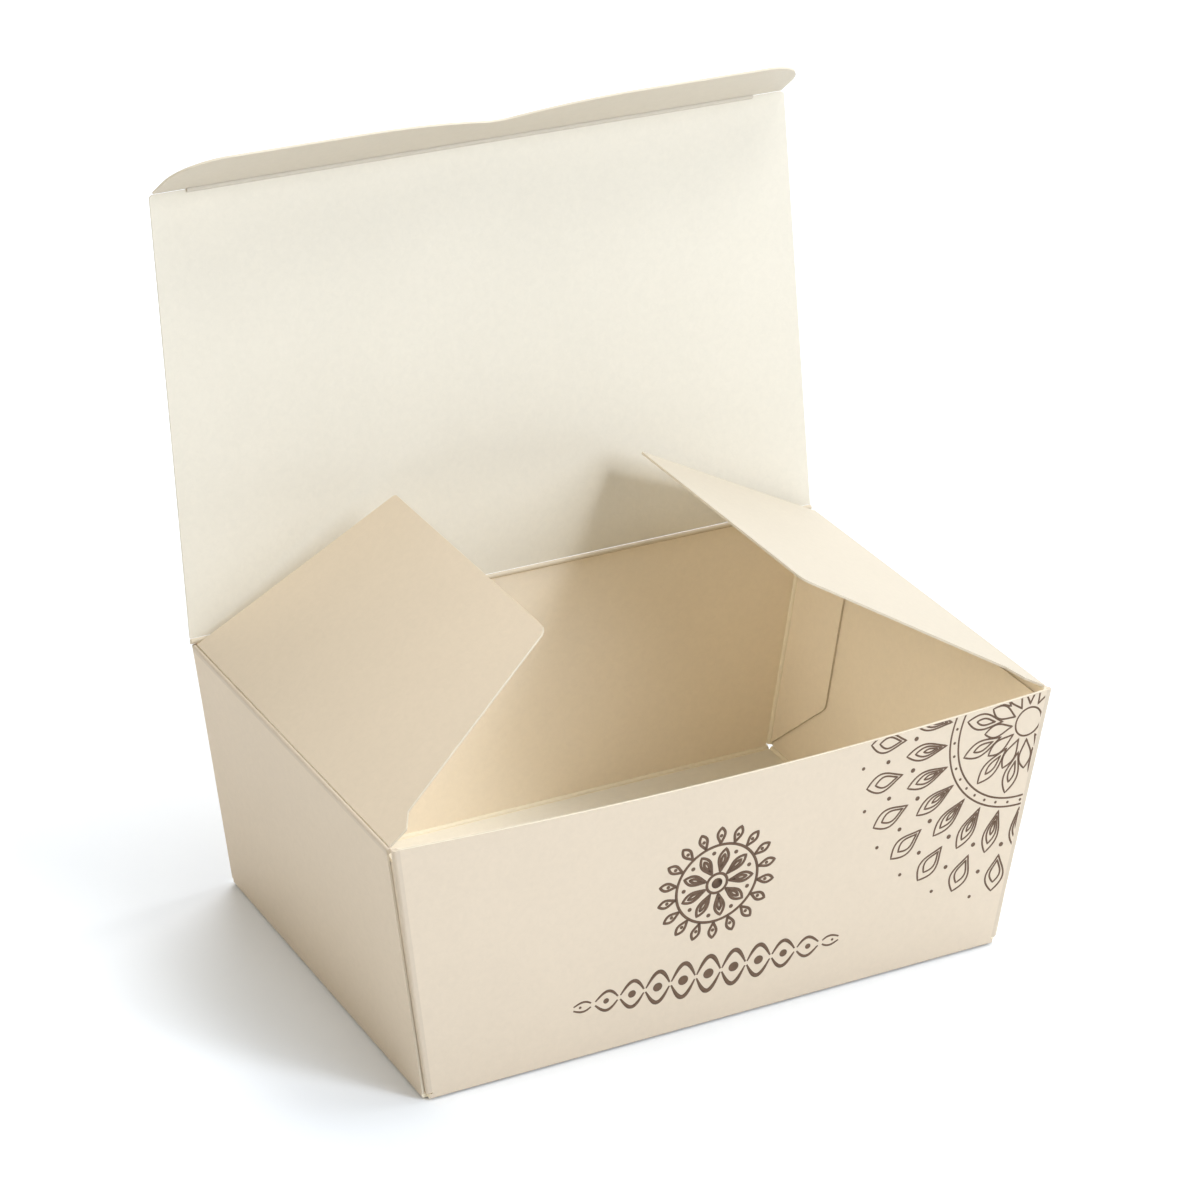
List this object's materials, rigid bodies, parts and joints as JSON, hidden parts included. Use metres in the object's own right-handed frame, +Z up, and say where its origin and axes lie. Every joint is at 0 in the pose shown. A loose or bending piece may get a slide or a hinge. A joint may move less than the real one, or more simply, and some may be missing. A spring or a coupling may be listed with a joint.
{
  "type": "folding chocolate box",
  "caption": "Tapered folding carton with a hinged tuck lid and two dust flaps, open, for boxed chocolates.",
  "frame": {"origin": "centre of the floor's underside, the face the box stands on", "axes": "+X to the right seen from the front, -Y towards the front wall, +Z up; the lid is hinged on the +Y side"},
  "size_m": [0.1496, 0.1174, 0.1612],
  "materials": {
    "board": "matt coated cream paperboard, faintly fibrous, with a printed brown ornament on the front wall",
    "glue": "dried carton glue, hidden"
  },
  "bodies": {
    "tray": {"floor_panel": "board", "front_wall": "board", "rear_wall": "board", "left_wall": "board", "right_wall": "board", "front_left_glue_flap": "board", "rear_left_glue_flap": "board", "front_right_glue_flap": "board", "rear_right_glue_flap": "board", "front_left_glue_film": "glue", "rear_left_glue_film": "glue", "front_right_glue_film": "glue", "rear_right_glue_film": "glue", "front_floor_fold": "board", "rear_floor_fold": "board", "left_floor_fold": "board", "right_floor_fold": "board", "front_left_corner_fold": "board", "rear_left_corner_fold": "board", "front_right_corner_fold": "board", "rear_right_corner_fold": "board", "lid_fold": "board", "left_dust_fold": "board", "right_dust_fold": "board"},
    "lid": {"lid_panel": "board", "tuck_fold": "board"},
    "tuck": {"tuck_flap": "board"},
    "left_dust": {"left_dust_flap": "board"},
    "right_dust": {"right_dust_flap": "board"}
  },
  "joints": [
    {"name": "lid_hinge", "type": "hinge", "parent": "tray", "child": "lid", "pos_m": [0, 0.04744, 0.05875], "axis": [-1, 0, 0], "range_deg": [-101.25, 75]},
    {"name": "tuck_hinge", "type": "hinge", "parent": "lid", "child": "tuck", "pos_m": [0, 0.06564, 0.15029], "axis": [1, 0, 0], "range_deg": [-26, 35.1]},
    {"name": "left_dust_hinge", "type": "hinge", "parent": "tray", "child": "left_dust", "pos_m": [-0.07428, 0, 0.05815], "axis": [0, -1, 0], "range_deg": [-63.3, 46.9]},
    {"name": "right_dust_hinge", "type": "hinge", "parent": "tray", "child": "right_dust", "pos_m": [0.07428, 0, 0.05815], "axis": [0, 1, 0], "range_deg": [-61.1, 45.3]}
  ],
  "couplings": [
    {"joint": "tuck_hinge", "follows": "lid_hinge", "ratio": -0.3457},
    {"joint": "left_dust_hinge", "follows": "lid_hinge", "ratio": 0.6242},
    {"joint": "right_dust_hinge", "follows": "lid_hinge", "ratio": 0.6025}
  ]
}
